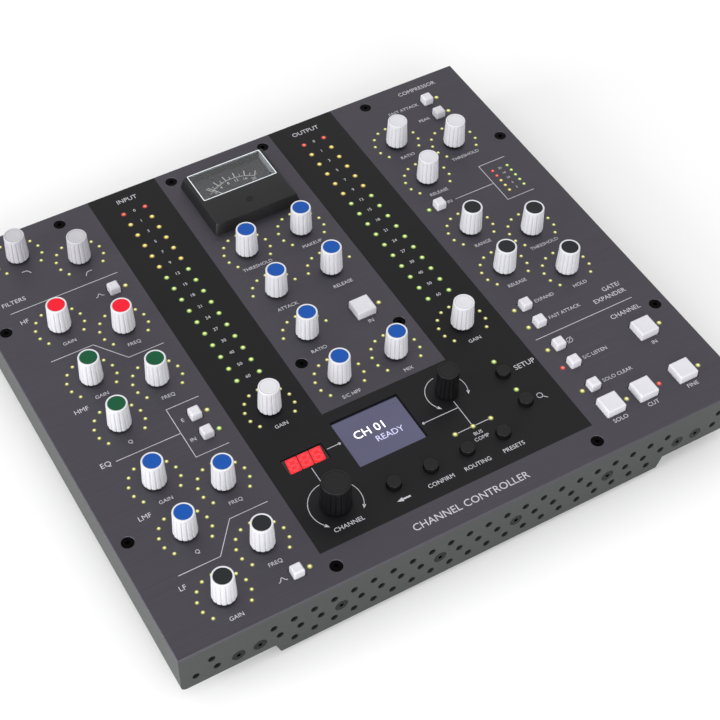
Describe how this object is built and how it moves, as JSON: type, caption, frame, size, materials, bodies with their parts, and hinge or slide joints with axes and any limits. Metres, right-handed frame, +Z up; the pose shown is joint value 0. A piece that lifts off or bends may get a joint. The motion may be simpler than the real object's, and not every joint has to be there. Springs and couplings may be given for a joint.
{
  "type": "desktop mixing controller",
  "caption": "Desktop controller for channel and bus compressor processing, with ringed encoders, keys, level strips, a needle meter and a small screen on a flat metal tray.",
  "frame": {"origin": "on the table, under the centre of the top plate", "axes": "+X to the right, +Y away from the user, +Z up"},
  "size_m": [0.298, 0.264, 0.052],
  "materials": {
    "plate": "brushed, dark anodised, black and white print",
    "tray": "fine-textured dark grey powder coat",
    "board": "solder-masked board with black parts",
    "meter_case": "polished black moulding",
    "needle": "pale lacquer",
    "screws": "black oxide",
    "feet": "matt",
    "white_knob": "fine satin moulding",
    "grey_knob": "fine satin moulding",
    "black_knob": "satin moulding",
    "white_key": "satin moulding",
    "black_key": "satin moulding"
  },
  "bodies": {
    "chassis": {"top_plate": "plate", "base_tray": "tray", "control_board": "board", "meter_case": "meter_case", "fixings": "screws", "rubber_feet": "feet"},
    "needle": {"meter_needle": "needle"},
    "hf_bell_key": {"hf_bell_key": "white_key"},
    "eq_type_key": {"eq_type_key": "white_key"},
    "eq_in_key": {"eq_in_key": "white_key"},
    "lf_bell_key": {"lf_bell_key": "white_key"},
    "comp_fast_key": {"comp_fast_key": "white_key"},
    "comp_peak_key": {"comp_peak_key": "white_key"},
    "dynamics_in_key": {"dynamics_in_key": "white_key"},
    "gate_expand_key": {"gate_expand_key": "white_key"},
    "gate_fast_key": {"gate_fast_key": "white_key"},
    "polarity_key": {"polarity_key": "white_key"},
    "sidechain_listen_key": {"sidechain_listen_key": "white_key"},
    "solo_clear_key": {"solo_clear_key": "white_key"},
    "bus_in_key": {"bus_in_key": "white_key"},
    "channel_in_key": {"channel_in_key": "white_key"},
    "solo_key": {"solo_key": "white_key"},
    "cut_key": {"cut_key": "white_key"},
    "fine_key": {"fine_key": "white_key"},
    "back_key": {"back_key": "black_key"},
    "confirm_key": {"confirm_key": "black_key"},
    "routing_key": {"routing_key": "black_key"},
    "presets_key": {"presets_key": "black_key"},
    "layer_key": {"layer_key": "black_key"},
    "zoom_key": {"zoom_key": "black_key"},
    "low_pass_knob": {"low_pass_knob": "grey_knob"},
    "high_pass_knob": {"high_pass_knob": "grey_knob"},
    "hf_gain_knob": {"hf_gain_knob": "white_knob"},
    "hf_freq_knob": {"hf_freq_knob": "white_knob"},
    "hmf_gain_knob": {"hmf_gain_knob": "white_knob"},
    "hmf_freq_knob": {"hmf_freq_knob": "white_knob"},
    "hmf_width_knob": {"hmf_width_knob": "white_knob"},
    "lmf_gain_knob": {"lmf_gain_knob": "white_knob"},
    "lmf_freq_knob": {"lmf_freq_knob": "white_knob"},
    "lmf_width_knob": {"lmf_width_knob": "white_knob"},
    "lf_freq_knob": {"lf_freq_knob": "white_knob"},
    "lf_gain_knob": {"lf_gain_knob": "white_knob"},
    "input_gain_knob": {"input_gain_knob": "white_knob"},
    "output_gain_knob": {"output_gain_knob": "white_knob"},
    "bus_threshold_knob": {"bus_threshold_knob": "white_knob"},
    "bus_makeup_knob": {"bus_makeup_knob": "white_knob"},
    "bus_attack_knob": {"bus_attack_knob": "white_knob"},
    "bus_release_knob": {"bus_release_knob": "white_knob"},
    "bus_ratio_knob": {"bus_ratio_knob": "white_knob"},
    "bus_filter_knob": {"bus_filter_knob": "white_knob"},
    "bus_mix_knob": {"bus_mix_knob": "white_knob"},
    "comp_ratio_knob": {"comp_ratio_knob": "white_knob"},
    "comp_threshold_knob": {"comp_threshold_knob": "white_knob"},
    "comp_release_knob": {"comp_release_knob": "white_knob"},
    "gate_range_knob": {"gate_range_knob": "white_knob"},
    "gate_threshold_knob": {"gate_threshold_knob": "white_knob"},
    "gate_release_knob": {"gate_release_knob": "white_knob"},
    "gate_hold_knob": {"gate_hold_knob": "white_knob"},
    "channel_jog_knob": {"channel_jog_knob": "black_knob"},
    "select_knob": {"select_knob": "black_knob"}
  },
  "joints": [
    {"name": "needle_swing", "type": "hinge", "parent": "chassis", "child": "needle", "pos_m": [0, 0.0877, 0.0355], "axis": [0, 0, -1], "range_deg": [0, 68], "stiffness_Nm_per_rad": 0.0001},
    {"name": "hf_bell_press", "type": "slide", "parent": "chassis", "child": "hf_bell_key", "axis": [0, 0, -1], "range_m": [0, 0.0008], "stiffness_N_per_m": 300},
    {"name": "eq_type_press", "type": "slide", "parent": "chassis", "child": "eq_type_key", "axis": [0, 0, -1], "range_m": [0, 0.0008], "stiffness_N_per_m": 300},
    {"name": "eq_in_press", "type": "slide", "parent": "chassis", "child": "eq_in_key", "axis": [0, 0, -1], "range_m": [0, 0.0008], "stiffness_N_per_m": 300},
    {"name": "lf_bell_press", "type": "slide", "parent": "chassis", "child": "lf_bell_key", "axis": [0, 0, -1], "range_m": [0, 0.0008], "stiffness_N_per_m": 300},
    {"name": "comp_fast_press", "type": "slide", "parent": "chassis", "child": "comp_fast_key", "axis": [0, 0, -1], "range_m": [0, 0.0008], "stiffness_N_per_m": 300},
    {"name": "comp_peak_press", "type": "slide", "parent": "chassis", "child": "comp_peak_key", "axis": [0, 0, -1], "range_m": [0, 0.0008], "stiffness_N_per_m": 300},
    {"name": "dynamics_in_press", "type": "slide", "parent": "chassis", "child": "dynamics_in_key", "axis": [0, 0, -1], "range_m": [0, 0.0008], "stiffness_N_per_m": 300},
    {"name": "gate_expand_press", "type": "slide", "parent": "chassis", "child": "gate_expand_key", "axis": [0, 0, -1], "range_m": [0, 0.0008], "stiffness_N_per_m": 300},
    {"name": "gate_fast_press", "type": "slide", "parent": "chassis", "child": "gate_fast_key", "axis": [0, 0, -1], "range_m": [0, 0.0008], "stiffness_N_per_m": 300},
    {"name": "polarity_press", "type": "slide", "parent": "chassis", "child": "polarity_key", "axis": [0, 0, -1], "range_m": [0, 0.0008], "stiffness_N_per_m": 300},
    {"name": "sidechain_listen_press", "type": "slide", "parent": "chassis", "child": "sidechain_listen_key", "axis": [0, 0, -1], "range_m": [0, 0.0008], "stiffness_N_per_m": 300},
    {"name": "solo_clear_press", "type": "slide", "parent": "chassis", "child": "solo_clear_key", "axis": [0, 0, -1], "range_m": [0, 0.0008], "stiffness_N_per_m": 300},
    {"name": "bus_in_press", "type": "slide", "parent": "chassis", "child": "bus_in_key", "axis": [0, 0, -1], "range_m": [0, 0.0008], "stiffness_N_per_m": 300},
    {"name": "channel_in_press", "type": "slide", "parent": "chassis", "child": "channel_in_key", "axis": [0, 0, -1], "range_m": [0, 0.0008], "stiffness_N_per_m": 300},
    {"name": "solo_press", "type": "slide", "parent": "chassis", "child": "solo_key", "axis": [0, 0, -1], "range_m": [0, 0.0008], "stiffness_N_per_m": 300},
    {"name": "cut_press", "type": "slide", "parent": "chassis", "child": "cut_key", "axis": [0, 0, -1], "range_m": [0, 0.0008], "stiffness_N_per_m": 300},
    {"name": "fine_press", "type": "slide", "parent": "chassis", "child": "fine_key", "axis": [0, 0, -1], "range_m": [0, 0.0008], "stiffness_N_per_m": 300},
    {"name": "back_press", "type": "slide", "parent": "chassis", "child": "back_key", "axis": [0, 0, -1], "range_m": [0, 0.0008], "stiffness_N_per_m": 300},
    {"name": "confirm_press", "type": "slide", "parent": "chassis", "child": "confirm_key", "axis": [0, 0, -1], "range_m": [0, 0.0008], "stiffness_N_per_m": 300},
    {"name": "routing_press", "type": "slide", "parent": "chassis", "child": "routing_key", "axis": [0, 0, -1], "range_m": [0, 0.0008], "stiffness_N_per_m": 300},
    {"name": "presets_press", "type": "slide", "parent": "chassis", "child": "presets_key", "axis": [0, 0, -1], "range_m": [0, 0.0008], "stiffness_N_per_m": 300},
    {"name": "layer_press", "type": "slide", "parent": "chassis", "child": "layer_key", "axis": [0, 0, -1], "range_m": [0, 0.0008], "stiffness_N_per_m": 300},
    {"name": "zoom_press", "type": "slide", "parent": "chassis", "child": "zoom_key", "axis": [0, 0, -1], "range_m": [0, 0.0008], "stiffness_N_per_m": 300},
    {"name": "low_pass_turn", "type": "hinge", "parent": "chassis", "child": "low_pass_knob", "pos_m": [-0.1176, 0.1136, 0.0355], "axis": [0, 0, 1], "continuous": true},
    {"name": "high_pass_turn", "type": "hinge", "parent": "chassis", "child": "high_pass_knob", "pos_m": [-0.0908, 0.098, 0.0355], "axis": [0, 0, 1], "continuous": true},
    {"name": "hf_gain_turn", "type": "hinge", "parent": "chassis", "child": "hf_gain_knob", "pos_m": [-0.1176, 0.0612, 0.0355], "axis": [0, 0, 1], "continuous": true},
    {"name": "hf_freq_turn", "type": "hinge", "parent": "chassis", "child": "hf_freq_knob", "pos_m": [-0.0908, 0.0456, 0.0355], "axis": [0, 0, 1], "continuous": true},
    {"name": "hmf_gain_turn", "type": "hinge", "parent": "chassis", "child": "hmf_gain_knob", "pos_m": [-0.1176, 0.0238, 0.0355], "axis": [0, 0, 1], "continuous": true},
    {"name": "hmf_freq_turn", "type": "hinge", "parent": "chassis", "child": "hmf_freq_knob", "pos_m": [-0.0908, 0.0082, 0.0355], "axis": [0, 0, 1], "continuous": true},
    {"name": "hmf_width_turn", "type": "hinge", "parent": "chassis", "child": "hmf_width_knob", "pos_m": [-0.1176, -0.0074, 0.0355], "axis": [0, 0, 1], "continuous": true},
    {"name": "lmf_gain_turn", "type": "hinge", "parent": "chassis", "child": "lmf_gain_knob", "pos_m": [-0.1176, -0.0446, 0.0355], "axis": [0, 0, 1], "continuous": true},
    {"name": "lmf_freq_turn", "type": "hinge", "parent": "chassis", "child": "lmf_freq_knob", "pos_m": [-0.0908, -0.0602, 0.0355], "axis": [0, 0, 1], "continuous": true},
    {"name": "lmf_width_turn", "type": "hinge", "parent": "chassis", "child": "lmf_width_knob", "pos_m": [-0.1176, -0.0758, 0.0355], "axis": [0, 0, 1], "continuous": true},
    {"name": "lf_freq_turn", "type": "hinge", "parent": "chassis", "child": "lf_freq_knob", "pos_m": [-0.0908, -0.0974, 0.0355], "axis": [0, 0, 1], "continuous": true},
    {"name": "lf_gain_turn", "type": "hinge", "parent": "chassis", "child": "lf_gain_knob", "pos_m": [-0.1176, -0.113, 0.0355], "axis": [0, 0, 1], "continuous": true},
    {"name": "input_gain_turn", "type": "hinge", "parent": "chassis", "child": "input_gain_knob", "pos_m": [-0.0528, -0.0327, 0.0355], "axis": [0, 0, 1], "continuous": true},
    {"name": "output_gain_turn", "type": "hinge", "parent": "chassis", "child": "output_gain_knob", "pos_m": [0.0528, -0.0327, 0.0355], "axis": [0, 0, 1], "continuous": true},
    {"name": "bus_threshold_turn", "type": "hinge", "parent": "chassis", "child": "bus_threshold_knob", "pos_m": [-0.0155, 0.0612, 0.0355], "axis": [0, 0, 1], "continuous": true},
    {"name": "bus_makeup_turn", "type": "hinge", "parent": "chassis", "child": "bus_makeup_knob", "pos_m": [0.0155, 0.0612, 0.0355], "axis": [0, 0, 1], "continuous": true},
    {"name": "bus_attack_turn", "type": "hinge", "parent": "chassis", "child": "bus_attack_knob", "pos_m": [-0.0155, 0.0299, 0.0355], "axis": [0, 0, 1], "continuous": true},
    {"name": "bus_release_turn", "type": "hinge", "parent": "chassis", "child": "bus_release_knob", "pos_m": [0.0155, 0.0299, 0.0355], "axis": [0, 0, 1], "continuous": true},
    {"name": "bus_ratio_turn", "type": "hinge", "parent": "chassis", "child": "bus_ratio_knob", "pos_m": [-0.0155, -0.0014, 0.0355], "axis": [0, 0, 1], "continuous": true},
    {"name": "bus_filter_turn", "type": "hinge", "parent": "chassis", "child": "bus_filter_knob", "pos_m": [-0.0155, -0.0327, 0.0355], "axis": [0, 0, 1], "continuous": true},
    {"name": "bus_mix_turn", "type": "hinge", "parent": "chassis", "child": "bus_mix_knob", "pos_m": [0.0155, -0.0327, 0.0355], "axis": [0, 0, 1], "continuous": true},
    {"name": "comp_ratio_turn", "type": "hinge", "parent": "chassis", "child": "comp_ratio_knob", "pos_m": [0.0908, 0.0924, 0.0355], "axis": [0, 0, 1], "continuous": true},
    {"name": "comp_threshold_turn", "type": "hinge", "parent": "chassis", "child": "comp_threshold_knob", "pos_m": [0.1176, 0.0778, 0.0355], "axis": [0, 0, 1], "continuous": true},
    {"name": "comp_release_turn", "type": "hinge", "parent": "chassis", "child": "comp_release_knob", "pos_m": [0.0908, 0.0612, 0.0355], "axis": [0, 0, 1], "continuous": true},
    {"name": "gate_range_turn", "type": "hinge", "parent": "chassis", "child": "gate_range_knob", "pos_m": [0.0908, 0.0192, 0.0355], "axis": [0, 0, 1], "continuous": true},
    {"name": "gate_threshold_turn", "type": "hinge", "parent": "chassis", "child": "gate_threshold_knob", "pos_m": [0.1176, 0.0036, 0.0355], "axis": [0, 0, 1], "continuous": true},
    {"name": "gate_release_turn", "type": "hinge", "parent": "chassis", "child": "gate_release_knob", "pos_m": [0.0908, -0.012, 0.0355], "axis": [0, 0, 1], "continuous": true},
    {"name": "gate_hold_turn", "type": "hinge", "parent": "chassis", "child": "gate_hold_knob", "pos_m": [0.1176, -0.0276, 0.0355], "axis": [0, 0, 1], "continuous": true},
    {"name": "channel_jog_turn", "type": "hinge", "parent": "chassis", "child": "channel_jog_knob", "pos_m": [-0.0528, -0.095, 0.0355], "axis": [0, 0, 1], "continuous": true},
    {"name": "select_turn", "type": "hinge", "parent": "chassis", "child": "select_knob", "pos_m": [0.0236, -0.0653, 0.0355], "axis": [0, 0, 1], "continuous": true}
  ]
}
